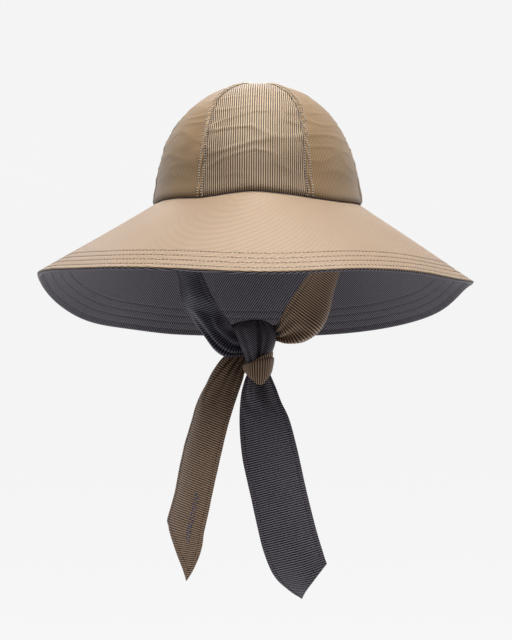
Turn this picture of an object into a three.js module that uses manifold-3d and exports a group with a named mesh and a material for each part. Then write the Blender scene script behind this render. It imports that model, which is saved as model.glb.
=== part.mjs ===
// A reversible wide-brim sun hat with two cloth ties knotted under the brim.
//
// The hat is two hats in one, sewn together along the brim's edge: a tan shell outside and a grey
// shell inside, each a six-panel crown on a one-piece brim. A stiff interfacing lies between the
// two brims. Each tie is a flat tube of two strips, one tan and one grey, sewn in at the crown seam
// beside the ears. The ties meet in a knot, from which their two tails hang.
//
// Millimetres, +Z up. The front of the hat faces -Y. The origin is the middle of the head opening,
// in the plane of the seam that joins crown and brim, where a head holds the hat.

import * as THREE from "three";
import { LoftGeometry } from "three/addons/geometries/LoftGeometry.js";
import { mergeVertices } from "three/addons/utils/BufferGeometryUtils.js";
import Module from "manifold-3d";

const { Vector3 } = THREE;
const { cos, sin, sign, PI } = Math;
const radians = THREE.MathUtils.degToRad;
const lerp = THREE.MathUtils.lerp;

// ---------------------------------------------------------------- driving dimensions

// cloth
const clothThickness = 0.6; // ribbed cotton and silk
const interfacingThickness = 0.6; // the brim's stiffener
const layerGap = 0.3; // between two layers that lie on each other
const seamGap = 0.3; // between two panels sewn edge to edge

// crown: an oval seam that rises to a dome
const crownHalfWidth = 85; // ear to ear, outside
const crownHalfLength = 101; // forehead to nape, outside
const crownHeight = 101;
const crownFullness = 2.2; // exponent of the dome's profile, where 2 is a plain ellipse
const panelTipRadius = 1.2; // the panels stop this far from the very top
const endPanelHalfAngle = 31.5; // degrees from the front, or back, centre line to its panel's seams

// brim: a straight-sided skirt whose slope changes on the way round
const brimWidth = 118; // along the cloth, seam to edge
const brimSlope = 42.4; // mean slope below the horizontal, in degrees
const brimFrontLift = 11.2; // degrees that the front is flatter, and the back steeper
const brimSideLift = 5.2; // degrees that the sides are flatter than front and back
const brimWave = 2.2; // degrees of the three soft waves
const brimLean = 0.9; // degrees that one side hangs lower than the other
const interfacingEdgeInset = 3; // the stiffener stops this far inside the edge seam
const interfacingSeamInset = 2; // and this far outside the crown seam

// ties
const tieWidth = 50;
const tieTopRise = 6; // how far a tie reaches above the crown seam
const anchorHeight = 10; // the sewn-in end, up the inside of the crown
const anchorGap = 0.8; // between the sewn-in end and the lining's true curve, clear of its facets
const tieRunningGap = 0.8; // between the sewn-in end and the part that swings
const hingeGap = 0.8; // between a tail and the knot that it hangs from

// knot
const knotTopDrop = 95; // from the crown seam down to the top of the knot
const wrapStart = 32; // the wrapped band, measured down from the knot's top
const knotLength = 54;
const knotClearance = 0.4; // between the knot and each tie that runs into it
const crossingHalfHeight = 9; // the tan strip that passes behind the knot

// tails
const tanTail = { length: 188, topWidth: 14, lean: 16.8, turn: 50, cutLength: 46, bow: -3 };
const greyTail = { length: 178, topWidth: 18, lean: 11.6, turn: -10, cutLength: 44, bow: -2 };

// ---------------------------------------------------------------- sizes that follow

const tieThickness = 2 * clothThickness + layerGap;
const outerInset = 0;
const liningInset = clothThickness + layerGap;
const anchorInset = liningInset + clothThickness + anchorGap;
const brimHalfStack = interfacingThickness / 2 + layerGap + clothThickness;
const brimSeamInset = (liningInset + clothThickness) / 2; // the brim hangs under the crown's middle
const brimSeamDrop = layerGap + brimHalfStack * 0.8; // keeps the sloping stack under the crown

// ---------------------------------------------------------------- geometry helpers

// Skins a row of closed sections, with a cap on each end.
function closedLoft(sections) {
  const ends = { capStart: true, capEnd: true };
  const made = new LoftGeometry(sections, ends);
  if (signedVolume(made) > 0) return made;
  return new LoftGeometry(sections.map((section) => [...section].reverse()), ends);
}

// A closed sheet between two grids of points, each a list of rows. Both grids are split along the
// same diagonals, so layers that follow each other stay as far apart as their corners are. In a
// ring the last row joins the first.
function sheetSolid(upper, lower, ring = false) {
  const rows = upper.length;
  const columns = upper[0].length;
  const top = (row, column) => (row % rows) * columns + column;
  const bottom = (row, column) => rows * columns + top(row, column);
  const index = [];
  const quad = (a, b, c, d) => index.push(a, b, c, a, c, d);
  const lastRow = rows - 1;
  const lastColumn = columns - 1;
  for (let r = 0; r < (ring ? rows : lastRow); r++) {
    for (let c = 0; c < lastColumn; c++) {
      quad(top(r, c), top(r + 1, c), top(r + 1, c + 1), top(r, c + 1));
      quad(bottom(r, c), bottom(r, c + 1), bottom(r + 1, c + 1), bottom(r + 1, c));
    }
    quad(top(r, 0), bottom(r, 0), bottom(r + 1, 0), top(r + 1, 0));
    quad(
      top(r, lastColumn),
      top(r + 1, lastColumn),
      bottom(r + 1, lastColumn),
      bottom(r, lastColumn),
    );
  }
  for (let c = 0; c < (ring ? 0 : lastColumn); c++) {
    quad(top(0, c), top(0, c + 1), bottom(0, c + 1), bottom(0, c));
    quad(top(lastRow, c), bottom(lastRow, c), bottom(lastRow, c + 1), top(lastRow, c + 1));
  }
  const made = new THREE.BufferGeometry().setFromPoints([...upper.flat(), ...lower.flat()]);
  made.setIndex(index);
  if (signedVolume(made) < 0) made.setIndex(index.reverse());
  made.computeVertexNormals();
  return made;
}

// Positive when the faces of a closed geometry point out.
function signedVolume(geometry) {
  const at = geometry.getAttribute("position");
  const index = geometry.index.array;
  const [a, b, c] = [new Vector3(), new Vector3(), new Vector3()];
  let volume = 0;
  for (let i = 0; i < index.length; i += 3) {
    a.fromBufferAttribute(at, index[i]);
    b.fromBufferAttribute(at, index[i + 1]);
    c.fromBufferAttribute(at, index[i + 2]);
    volume += a.dot(b.cross(c)) / 6;
  }
  return volume;
}

// The points from one end to the other of a span, both ends included.
function steps(count, from, to) {
  return Array.from({ length: count + 1 }, (_, i) => lerp(from, to, i / count));
}

// manifold-3d's solid of a closed geometry, and the geometry of a solid.
const wasm = await Module();
wasm.setup();

function solidOf(geometry) {
  const bare = new THREE.BufferGeometry();
  bare.setAttribute("position", geometry.getAttribute("position"));
  bare.setIndex(geometry.index);
  const merged = mergeVertices(bare, 1e-4);
  return new wasm.Manifold(
    new wasm.Mesh({
      numProp: 3,
      vertProperties: merged.attributes.position.array,
      triVerts: new Uint32Array(merged.index.array),
    }),
  );
}

function geometryOf(solid) {
  const mesh = solid.getMesh();
  const made = new THREE.BufferGeometry();
  made.setAttribute("position", new THREE.BufferAttribute(mesh.vertProperties, 3));
  made.setIndex(new THREE.BufferAttribute(mesh.triVerts, 1));
  made.computeVertexNormals();
  return made;
}

// The largest body that is left of a piece after another is cut from it.
function cutAway(geometry, cutter) {
  const left = solidOf(geometry).subtract(solidOf(cutter)).decompose();
  left.sort((a, b) => b.volume() - a.volume());
  return geometryOf(left[0]);
}

// ---------------------------------------------------------------- materials

const tanCloth = new THREE.MeshStandardMaterial({ color: 0xb89a74, roughness: 0.7 });
const greyCloth = new THREE.MeshStandardMaterial({ color: 0x47454b, roughness: 0.75 });
const stiffener = new THREE.MeshStandardMaterial({ color: 0xe4e1d8, roughness: 0.9 });

const hat = new THREE.Group();

function addPiece(name, geometry, material) {
  const mesh = new THREE.Mesh(geometry, material);
  mesh.name = name;
  hat.add(mesh);
  return mesh;
}

// ---------------------------------------------------------------- crown

// A point of the crown: angle 0 is the front centre, rise 0 the seam and 1 the very top, and inset
// how far it lies inside the outer surface.
function crownPoint(angle, rise, inset) {
  const up = sin((rise * PI) / 2) ** (2 / crownFullness);
  const out = cos((rise * PI) / 2) ** (2 / crownFullness);
  return new Vector3(
    (crownHalfWidth - inset) * out * sin(angle),
    -(crownHalfLength - inset) * out * cos(angle),
    (crownHeight - inset) * up,
  );
}

// How far up the dome its radius has shrunk to the panels' tips.
const topRise =
  1 - (2 / PI) * Math.asin((panelTipRadius / crownHalfWidth) ** (crownFullness / 2));

// One panel of one shell, between two seams. The seam gap is a width, so it takes more angle near
// the top, where the panel is narrow.
function crownPanel(fromAngle, toAngle, inset) {
  const rows = 11;
  const columns = 6;
  const face = (depth) =>
    steps(rows, 0, topRise).map((rise) => {
      const radius = crownHalfWidth * cos((rise * PI) / 2) ** (2 / crownFullness);
      const trim = seamGap / 2 / radius;
      const angles = steps(columns, fromAngle + trim, toAngle - trim);
      return angles.map((angle) => crownPoint(angle, rise, depth));
    });
  return sheetSolid(face(inset), face(inset + clothThickness));
}

const end = endPanelHalfAngle;
const panels = [
  ["front", -end, end],
  ["right_front", -90, -end],
  ["right_back", end - 180, -90],
  ["back", 180 - end, 180 + end],
  ["left_back", 90, 180 - end],
  ["left_front", end, 90],
];
for (const [place, from, to] of panels) {
  const [start, stop] = [radians(from), radians(to)];
  addPiece(`crown_panel_${place}`, crownPanel(start, stop, outerInset), tanCloth);
  addPiece(`lining_panel_${place}`, crownPanel(start, stop, liningInset), greyCloth);
}

// ---------------------------------------------------------------- brim

function brimSlopeAt(angle) {
  const slope =
    brimSlope -
    brimFrontLift * cos(angle) +
    brimSideLift * cos(2 * angle) +
    brimWave * cos(3 * angle) +
    brimLean * sin(angle);
  return radians(slope);
}

// A point of the brim: along is the distance down the cloth from the crown seam, and lift the
// height above the middle of the brim's stack of layers.
function brimPoint(angle, along, lift) {
  const halfWidth = crownHalfWidth - brimSeamInset;
  const halfLength = crownHalfLength - brimSeamInset;
  const out = new Vector3(halfLength * sin(angle), -halfWidth * cos(angle), 0).normalize();
  const slope = brimSlopeAt(angle);
  const across = along * cos(slope) + lift * sin(slope);
  return new Vector3(
    halfWidth * sin(angle) + out.x * across,
    -halfLength * cos(angle) + out.y * across,
    -brimSeamDrop - along * sin(slope) + lift * cos(slope),
  );
}

// A ring of the brim between two outlines of [along, lift] points.
function brimLayer(upper, lower) {
  const around = steps(72, 0, 2 * PI).slice(0, -1);
  const face = (outline) =>
    around.map((angle) => outline.map(([along, lift]) => brimPoint(angle, along, lift)));
  return sheetSolid(face(upper), face(lower), true);
}

// Both shells turn in at the edge, where their seam closes the brim.
function brimShell(side) {
  const face = side * brimHalfStack;
  const back = side * (brimHalfStack - clothThickness);
  const lip = (side * seamGap) / 2;
  const turn = brimWidth - 2 * clothThickness;
  const middle = brimWidth / 2;
  const outside = [[0, face], [middle, face], [turn - clothThickness, face], [turn, face]];
  const inside = [[0, back], [middle, back], [turn - clothThickness, back], [turn, lip]];
  return brimLayer(
    [...outside, [brimWidth, face - side * clothThickness]],
    [...inside, [brimWidth, lip]],
  );
}

addPiece("brim_outer", brimShell(1), tanCloth);
addPiece("brim_lining", brimShell(-1), greyCloth);

const stiffHalf = interfacingThickness / 2;
const stiffAlongs = [interfacingSeamInset, brimWidth / 2, brimWidth - interfacingEdgeInset];
const stiffFace = (lift) => stiffAlongs.map((along) => [along, lift]);
addPiece("brim_interfacing", brimLayer(stiffFace(stiffHalf), stiffFace(-stiffHalf)), stiffener);

// ---------------------------------------------------------------- knot

// The knot's grey body, as [drop below its top, half width, half depth, shift to the left]. The
// last two stations are the neck that the tan band wraps.
const knotStations = [
  [0.5, 4, 3, -1],
  [3, 11, 6, -2.5],
  [9, 17.8, 8.5, -2.5],
  [16, 18, 9, -2],
  [23, 15, 9, -1.6],
  [wrapStart - 1, 11, 8.8, 0.4],
  [knotLength, 8, 6.5, 0.8],
];
const knotDepth = Math.max(...knotStations.map(([, , depth]) => depth));
const ringSteps = 20;

// The knot's half width, half depth and shift at any drop.
function knotAt(drop) {
  const i = knotStations.findIndex(([d], n) => n > 0 && drop <= d);
  const [before, after] = [knotStations[i - 1], knotStations[i]];
  const share = (drop - before[0]) / (after[0] - before[0]);
  return before.map((value, n) => lerp(value, after[n], share));
}

// A point on the knot's surface at a drop, stood off by a margin.
function knotPoint(drop, turn, margin) {
  const [, halfWidth, halfDepth, shift] = knotAt(drop);
  const [c, s] = [cos(turn), sin(turn)];
  const square = 0.8; // below 1 the section is fuller than an ellipse
  return new Vector3(
    shift + sign(c) * Math.abs(c) ** square * (halfWidth + margin),
    sign(s) * Math.abs(s) ** square * (halfDepth + margin),
    -knotTopDrop - drop,
  );
}

function knotBody(margin) {
  const turns = steps(ringSteps, 0, 2 * PI).slice(0, -1);
  const drops = knotStations.map(([drop]) => drop);
  return closedLoft(drops.map((drop) => turns.map((turn) => knotPoint(drop, turn, margin))));
}

// The tan band that goes once round the knot's neck.
function knotWrap() {
  const turns = steps(ringSteps, 0, 2 * PI).slice(0, -1);
  const face = (margin) =>
    turns.map((turn) => [wrapStart, knotLength].map((drop) => knotPoint(drop, turn, margin)));
  return sheetSolid(face(layerGap + tieThickness), face(layerGap), true);
}

addPiece("knot_fold", knotBody(0), greyCloth);
addPiece("knot_wrap", knotWrap(), tanCloth);

// ---------------------------------------------------------------- bands of cloth

// A strip along a route. Each stop has the strip's centre and its half-width vector, across. The
// layer lies between two heights above the strip's middle.
function band(stops, low, high, count = 14) {
  const centres = new THREE.CatmullRomCurve3(stops.map((stop) => stop.centre));
  const halves = new THREE.CatmullRomCurve3(stops.map((stop) => stop.across));
  const face = (height) =>
    steps(count, 0, 1).map((t) => {
      const centre = centres.getPoint(t);
      const across = halves.getPoint(t);
      const normal = centres.getTangent(t).cross(across).normalize();
      return [-1, 0, 1].map((side) =>
        centre.clone().addScaledVector(across, side).addScaledVector(normal, height),
      );
    });
  return sheetSolid(face(high), face(low));
}

// A tie is two strips face to face: "face" looks at the front of the hat and "backing" away.
const faceHeights = [layerGap / 2, layerGap / 2 + clothThickness];
const backingHeights = faceHeights.map((height) => -height).reverse();

function doubleBand(name, stops, faceCloth, backingCloth, finish = (geometry) => geometry) {
  addPiece(`${name}_face`, finish(band(stops, ...faceHeights)), faceCloth);
  addPiece(`${name}_backing`, finish(band(stops, ...backingHeights)), backingCloth);
}

// ---------------------------------------------------------------- ties

// The sewn-in ends follow the lining round the side of the crown. The swinging ties start in the
// flat plane that the curved ends leave free.
const anchorInner = anchorInset + tieThickness;
const anchorHalfAngle = Math.asin(tieWidth / 2 / (crownHalfLength - anchorInner));
const tiePlane =
  (crownHalfWidth - anchorInner) * cos(anchorHalfAngle) - tieRunningGap - tieThickness / 2;

function tieAnchor(side) {
  const rise = (2 / PI) * Math.asin((anchorHeight / crownHeight) ** (crownFullness / 2));
  const middle = (side * PI) / 2;
  const angles = steps(6, middle - anchorHalfAngle, middle + anchorHalfAngle);
  const face = (inset) => angles.map((angle) => [0, rise].map((at) => crownPoint(angle, at, inset)));
  return sheetSolid(face(anchorInset), face(anchorInner));
}

addPiece("grey_tie_anchor", tieAnchor(-1), greyCloth);
addPiece("tan_tie_anchor", tieAnchor(1), tanCloth);

// A stop of a tie on its way down: out from the middle, back from the front, and up, with the
// half-width vector's shares of X, Y and Z.
function stop(side, out, back, up, turnIn, turnFront, tilt = 0) {
  return {
    centre: new Vector3(side * out, back, up),
    across: new Vector3(-side * turnIn, -turnFront, tilt),
  };
}

const half = tieWidth / 2;
const cutter = knotBody(knotClearance);
const knotMiddle = -knotTopDrop - 17;

// Seen from the front the ties narrow, because they turn edge-on round the neck, and then gather
// into the knot.
const greyTieStops = [
  stop(-1, tiePlane, 0, tieTopRise, 0, half),
  stop(-1, tiePlane, 0, -tieTopRise, 0, half),
  stop(-1, lerp(tiePlane, 20, 0.15), 0, knotMiddle * 0.3, half * 0.22, half * 0.97),
  stop(-1, lerp(tiePlane, 20, 0.4), 0, knotMiddle * 0.55, half * 0.42, half * 0.88),
  stop(-1, lerp(tiePlane, 20, 0.6), -1, knotMiddle * 0.76, half * 0.45, half * 0.7, 3),
  stop(-1, lerp(tiePlane, 20, 0.84), -1, knotMiddle * 0.95, half * 0.36, half * 0.36, 7),
  stop(-1, 13, 0, knotMiddle * 1.02, 1, 5, 7),
];
const tanTieStops = [
  stop(1, tiePlane, 0, tieTopRise, 0, half),
  stop(1, tiePlane, 0, -tieTopRise, 0, half),
  stop(1, lerp(tiePlane, 20, 0.18), 0, knotMiddle * 0.3, half * 0.3, half * 0.93),
  stop(1, lerp(tiePlane, 20, 0.46), 0, knotMiddle * 0.53, half * 0.54, half * 0.8),
  stop(1, lerp(tiePlane, 20, 0.6), 0, knotMiddle * 0.74, half * 0.7, half * 0.5, 2),
  stop(1, lerp(tiePlane, 20, 0.82), 0, knotMiddle * 0.89, half * 0.5, half * 0.3, 11),
  stop(1, 12, 0, knotMiddle * 0.95, 1, 5, 8),
];
const trim = (geometry) => cutAway(geometry, cutter);
doubleBand("grey_tie", greyTieStops, greyCloth, tanCloth, trim);
doubleBand("tan_tie", tanTieStops, tanCloth, greyCloth, trim);

// A tail leans in the plane of the hat's front, away from the middle on its own side.
function tailFrame(tail, side) {
  const lean = radians(side * tail.lean);
  return { down: new Vector3(sin(lean), 0, -cos(lean)), right: new Vector3(cos(lean), 0, sin(lean)) };
}

// The tan strip passes flat behind the knot, from its tie, and turns down into its tail.
const tanFrame = tailFrame(tanTail, -1);
const crossingBack = knotDepth + layerGap + tieThickness / 2;
const crossingEnd = new Vector3(-20, crossingBack, -knotTopDrop - 29);
const crossingSlant = new Vector3(0.3, 0, -0.954).multiplyScalar(crossingHalfHeight);
const crossingStops = [
  { centre: new Vector3(16, crossingBack, -knotTopDrop - 10), across: crossingSlant },
  { centre: new Vector3(0, crossingBack, -knotTopDrop - 14), across: crossingSlant },
  { centre: new Vector3(-12, crossingBack, -knotTopDrop - 19), across: new Vector3(5, 0, -7.5) },
  { centre: crossingEnd, across: tanFrame.right.clone().multiplyScalar(tanTail.topWidth / 2) },
];
addPiece("knot_crossing", band(crossingStops, -tieThickness / 2, tieThickness / 2, 10), tanCloth);

// ---------------------------------------------------------------- tails

// A tail opens from its gathered top to the tie's full width, turns about its own length and ends
// in a point, which lies towards the other tail.
function tailStops(top, tail, side) {
  const { down, right } = tailFrame(tail, side);
  const straight = tail.length - tail.cutLength;
  const at = (distance, bow) =>
    top.clone().addScaledVector(down, distance).addScaledVector(right, bow);
  const across = (halfWidth, share) => {
    const turn = radians(tail.turn) * share;
    return new Vector3(0, -sin(turn), 0).addScaledVector(right, cos(turn)).multiplyScalar(halfWidth);
  };
  const stops = [0, 0.12, 0.3, 0.6, 1].map((share) => ({
    centre: at(straight * share, side * tail.bow * 4 * share * (share - 1)),
    across: across(lerp(tail.topWidth, tieWidth, Math.min(1, share / 0.45)) / 2, Math.min(1, share / 0.3)),
  }));
  const tip = { centre: at(tail.length, -side * half * 0.35), across: across(1, 1) };
  const cut = {
    centre: stops.at(-1).centre.clone().lerp(tip.centre, 0.5),
    across: across(half * 0.52, 1),
  };
  return [...stops, cut, tip];
}

const tanTop = crossingEnd.clone().addScaledVector(tanFrame.down, hingeGap);
const greyCornerRise = (greyTail.topWidth / 2) * sin(radians(greyTail.lean));
const greyTop = new Vector3(0.8, 0, -knotTopDrop - knotLength - hingeGap - greyCornerRise);
doubleBand("tan_tail", tailStops(tanTop, tanTail, -1), tanCloth, greyCloth);
doubleBand("grey_tail", tailStops(greyTop, greyTail, 1), greyCloth, tanCloth);

export default hat;
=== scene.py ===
# %% [markdown]
# # A reversible sun hat with two neck ties
#
# The real thing is two cloth hats in one, sewn together round the edge of the brim. One is tan
# and one is dark grey. Each has a crown of six panels on a wide brim. Two cloth ties, tan on one
# side and grey on the other, hang from the crown seam beside the ears and meet in a knot.
#
# Everything here is cloth, so every piece is made the same way. A rule gives the middle of the
# cloth, a helper turns it into a thin closed sheet, and a UV map in real millimetres carries the
# weave. Then the ribs run on each piece as they did on the cutter's table.

# %% Load the frame
import bpy
import numpy as np
from math import atan, cos, pi, radians, sin
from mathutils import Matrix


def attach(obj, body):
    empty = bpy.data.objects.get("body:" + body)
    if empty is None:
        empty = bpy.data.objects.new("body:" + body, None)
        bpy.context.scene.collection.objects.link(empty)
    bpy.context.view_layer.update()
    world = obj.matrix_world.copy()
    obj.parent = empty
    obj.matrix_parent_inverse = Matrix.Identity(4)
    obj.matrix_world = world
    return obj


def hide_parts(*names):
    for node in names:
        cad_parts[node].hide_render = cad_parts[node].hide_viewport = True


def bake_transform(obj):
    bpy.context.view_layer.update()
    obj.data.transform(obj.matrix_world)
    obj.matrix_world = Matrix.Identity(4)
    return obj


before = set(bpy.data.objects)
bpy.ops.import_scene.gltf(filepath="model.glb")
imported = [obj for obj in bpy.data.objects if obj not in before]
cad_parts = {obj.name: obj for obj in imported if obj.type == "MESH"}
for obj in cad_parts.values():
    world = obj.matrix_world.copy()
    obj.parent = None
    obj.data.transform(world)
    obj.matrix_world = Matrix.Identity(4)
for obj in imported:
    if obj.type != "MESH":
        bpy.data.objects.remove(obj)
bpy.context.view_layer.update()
MM = 0.001

# %% [markdown]
# ## Camera, floor and light
#
# The camera comes first, because every later choice is judged through it. It stands a little
# lower than the hat and looks up at it with a long lens, as for a product on a stand. The floor
# is a shallow pale bowl whose wall rises all round, so that no corner or horizon shows. The light
# is soft: a large lamp overhead, weaker ones in front and behind, and a pale sky. A few small hard
# lamps would be simpler, but they would cut sharp shadows into cloth that has none.

# %% Camera
TARGET = np.array([0.0, 0.0, -95.8])  # the middle of the view, mm
CAMERA_DISTANCE = 2000.0
CAMERA_RISE = radians(-4.0)
CAMERA_TURN = radians(1.3)

camera = bpy.data.objects.new("camera", bpy.data.cameras.new("camera"))
bpy.context.collection.objects.link(camera)
bpy.context.scene.camera = camera
level = cos(CAMERA_RISE)
out = np.array([sin(CAMERA_TURN) * level, -cos(CAMERA_TURN) * level, sin(CAMERA_RISE)])
camera.location = (TARGET + out * CAMERA_DISTANCE) * MM
camera.rotation_euler = (pi / 2 - CAMERA_RISE, 0, CAMERA_TURN)
camera.data.lens = 135
camera.data.sensor_fit = "VERTICAL"
camera.data.sensor_height = 36
camera.data.shift_x = -0.002
bpy.context.scene.view_settings.view_transform = "Standard"
print("camera", CAMERA_DISTANCE, "mm away")

# %% Colour and node helpers
def srgb(hex_colour):
    """A colour written as on the web, turned to the linear values that light is added in."""
    channels = [int(hex_colour[i:i + 2], 16) / 255 for i in (1, 3, 5)]
    linear = [c / 12.92 if c <= 0.04045 else ((c + 0.055) / 1.055) ** 2.4 for c in channels]
    return (*linear, 1.0)


def add_node(tree, kind, links=None, **settings):
    """Adds one node. Settings that name a property are set, and links fill its inputs with a
    value or with another node's output."""
    node = tree.nodes.new(kind)
    for name, value in settings.items():
        setattr(node, name, value)
    for key, value in (links or {}).items():
        if isinstance(value, bpy.types.NodeSocket):
            tree.links.new(value, node.inputs[key])
        else:
            node.inputs[key].default_value = value
    return node


def new_material(name):
    material = bpy.data.materials.new(name)
    material.use_nodes = True
    return material, material.node_tree, material.node_tree.nodes["Principled BSDF"]


# %% Floor and light
def revolve(name, profile, turns=96):
    """A surface of revolution from (radius, height) points, in metres."""
    angles = np.linspace(0, 2 * pi, turns, endpoint=False)
    points = [(r * cos(a), r * sin(a), z) for r, z in profile for a in angles]
    faces = []
    for row in range(len(profile) - 1):
        for i in range(turns):
            j = (i + 1) % turns
            faces.append((row * turns + i, row * turns + j, (row + 1) * turns + j, (row + 1) * turns + i))
    mesh = bpy.data.meshes.new(name)
    mesh.from_pydata(points, [], faces)
    mesh.shade_smooth()
    made = bpy.data.objects.new(name, mesh)
    bpy.context.collection.objects.link(made)
    return made


FLOOR_Z = -0.65
FLOOR_RADIUS = 2.9
COVE_RADIUS = 1.2
WALL_TOP = 4.0
cove = [(FLOOR_RADIUS + COVE_RADIUS * sin(a), FLOOR_Z + COVE_RADIUS * (1 - cos(a)))
        for a in np.linspace(0, pi / 2, 13)]
floor = revolve("studio_floor", [(0.001, FLOOR_Z), (1.5, FLOOR_Z)] + cove + [(cove[-1][0], WALL_TOP)])
paint, tree, shader = new_material("back-lit white acrylic")
shader.inputs["Base Color"].default_value = srgb("#707070")
shader.inputs["Roughness"].default_value = 0.9
shader.inputs["Specular IOR Level"].default_value = 0.0
shader.inputs["Emission Color"].default_value = srgb("#FFFFFF")
shader.inputs["Emission Strength"].default_value = 0.82
floor.data.materials.append(paint)

# The bowl is only a backdrop. The light comes from a sky behind it that is bright at the back
# and below, as off a white table, and dim in front. The bowl lets that light through.
floor.visible_diffuse = False
floor.visible_glossy = False
floor.visible_shadow = False
SKY_IN_FRONT, SKY_BEHIND = 0.22, 1.15  # strengths
world = bpy.data.worlds.new("pale sky")
world.use_nodes = True
background = world.node_tree.nodes["Background"]
background.inputs["Color"].default_value = srgb("#F6F7FA")
towards = add_node(world.node_tree, "ShaderNodeTexCoord").outputs["Generated"]
axes = add_node(world.node_tree, "ShaderNodeSeparateXYZ", {0: towards}).outputs
low_and_behind = add_node(world.node_tree, "ShaderNodeMath", {0: axes[2], 1: -0.6, 2: axes[1]},
                          operation="MULTIPLY_ADD").outputs[0]
glow = add_node(world.node_tree, "ShaderNodeMapRange",
                {"Value": low_and_behind, "From Min": -0.8, "From Max": 0.6, "To Min": SKY_IN_FRONT,
                 "To Max": SKY_BEHIND},
                interpolation_type="SMOOTHSTEP")
world.node_tree.links.new(glow.outputs[0], background.inputs["Strength"])
bpy.context.scene.world = world


def add_lamp(name, place, aim, size, watts):
    """A round lamp at a place, in metres, turned to shine at its aim."""
    lamp = bpy.data.objects.new(name, bpy.data.lights.new(name, "AREA"))
    lamp.data.shape = "DISK"
    lamp.data.size = size
    lamp.data.energy = watts
    lamp.location = place
    from_lamp = np.array(aim) - np.array(place)
    flat = np.hypot(from_lamp[0], from_lamp[1])
    lamp.rotation_euler = (pi / 2 - atan(-from_lamp[2] / max(flat, 1e-6)), 0,
                           np.arctan2(-from_lamp[0], from_lamp[1]))
    lamp.visible_camera = False
    bpy.context.collection.objects.link(lamp)
    return lamp


add_lamp("overhead light", (0.1, -0.4, 1.75), (0, -0.05, 0), 1.2, 79)
add_lamp("front light", (0.3, -1.9, 1.15), (0, 0, -0.20), 0.9, 27)
add_lamp("back light", (-0.3, 2.0, 1.8), (0, 0, 0), 1.4, 12)
print("lamps:", len(bpy.data.lights))

# %% [markdown]
# ## Cloth as a closed sheet
#
# A single layer of faces has no edge, and cloth that shows its edge needs one. So each piece is
# a grid of points, pushed out along its own normals to both sides and joined round the rim. The
# UV map is in metres on the flat cloth: U runs across the ribs' own direction and V along it.
# Solidify could give the thickness too, but it doesn't round the edges or keep the two faces of
# a tie apart, and here both matter.

# %% Cloth sheet helper
def smooth_noise(seed, *coords, octaves=2):
    """Soft repeatable bumps from -1 to 1, made of a few sine waves in random directions."""
    rng = np.random.default_rng(seed)
    total, weight = 0.0, 0.0
    for octave in range(octaves):
        for _ in range(4):
            direction = rng.normal(size=len(coords))
            direction /= np.linalg.norm(direction)
            wave = sum(d * c for d, c in zip(direction, coords)) * 2**octave
            total = total + np.sin(wave + rng.uniform(0, 2 * pi)) / 2**octave
            weight += 1 / 2**octave
    return total / weight * 1.6


def grid_normals(points, ring):
    """Unit normals of a grid of points [rows, columns, 3]."""
    if ring:
        along = np.roll(points, -1, 0) - np.roll(points, 1, 0)
    else:
        along = np.gradient(points, axis=0)
    across = np.gradient(points, axis=1)
    normal = np.cross(along, across)
    length = np.linalg.norm(normal, axis=2, keepdims=True)
    return normal / np.maximum(length, 1e-12)


def cloth_sheet(name, upper, lower, uv, material, ring=False):
    """A closed mesh object between two grids of points in mm. uv has one row more in a ring."""
    rows, columns = upper.shape[:2]
    points = np.concatenate([upper.reshape(-1, 3), lower.reshape(-1, 3)]) * MM
    size = rows * columns
    faces, corners = [], []

    def at(row, column, low):
        return (row % rows) * columns + column + (size if low else 0)

    def face(*places):
        faces.append([at(r, c, low) for r, c, low in places])
        corners.extend((r, c) for r, c, low in places)

    for r in range(rows if ring else rows - 1):
        for c in range(columns - 1):
            face((r, c, 0), (r + 1, c, 0), (r + 1, c + 1, 0), (r, c + 1, 0))
            face((r, c, 1), (r, c + 1, 1), (r + 1, c + 1, 1), (r + 1, c, 1))
        last = columns - 1
        face((r, 0, 0), (r, 0, 1), (r + 1, 0, 1), (r + 1, 0, 0))
        face((r, last, 0), (r + 1, last, 0), (r + 1, last, 1), (r, last, 1))
    if not ring:
        last = rows - 1
        for c in range(columns - 1):
            face((0, c, 0), (0, c + 1, 0), (0, c + 1, 1), (0, c, 1))
            face((last, c, 0), (last, c, 1), (last, c + 1, 1), (last, c + 1, 0))
    rows_of, columns_of = np.array(corners).T
    loop_uv = uv[rows_of, columns_of] * MM
    mesh = bpy.data.meshes.new(name)
    mesh.from_pydata(points.tolist(), [], faces)
    layer = mesh.uv_layers.new(name="cloth")
    layer.data.foreach_set("uv", loop_uv.astype(np.float32).ravel())
    if signed_volume(points, np.array(faces)) < 0:
        mesh.flip_normals()
    mesh.shade_smooth()
    mesh.materials.append(material)
    made = bpy.data.objects.new(name, mesh)
    bpy.context.collection.objects.link(made)
    return made


def signed_volume(points, quads):
    a, b, c, d = (points[quads[:, i]] for i in range(4))
    return float(np.sum(a * np.cross(b, c)) + np.sum(a * np.cross(c, d))) / 6


def groove(distance, depth, width):
    """How far the cloth sinks at a distance from a seam or a row of stitches."""
    return depth * np.exp(-((distance / width) ** 2))


# %% [markdown]
# ## Ribbed cotton and silk
#
# The cloth is a fine faille: raised cords of light yarn with dark yarn between them, which the
# eye reads as pinstripes close by and as one soft colour from afar. The silk in it gives a
# broad, gentle shine. Stripes could be painted along the object's X axis, but then they would
# cut straight through folds and seams, so they follow each piece's own UV map instead. The cords
# are drawn 1.9 mm apart, as they are on the cloth. The threads that cross them are about 0.2 mm
# thick, too fine to show, and are drawn at 0.6 mm.

# %% Ribbed cloth
RIB_PITCH = 1.88 * MM
THREAD_PITCH = 0.6 * MM


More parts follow.
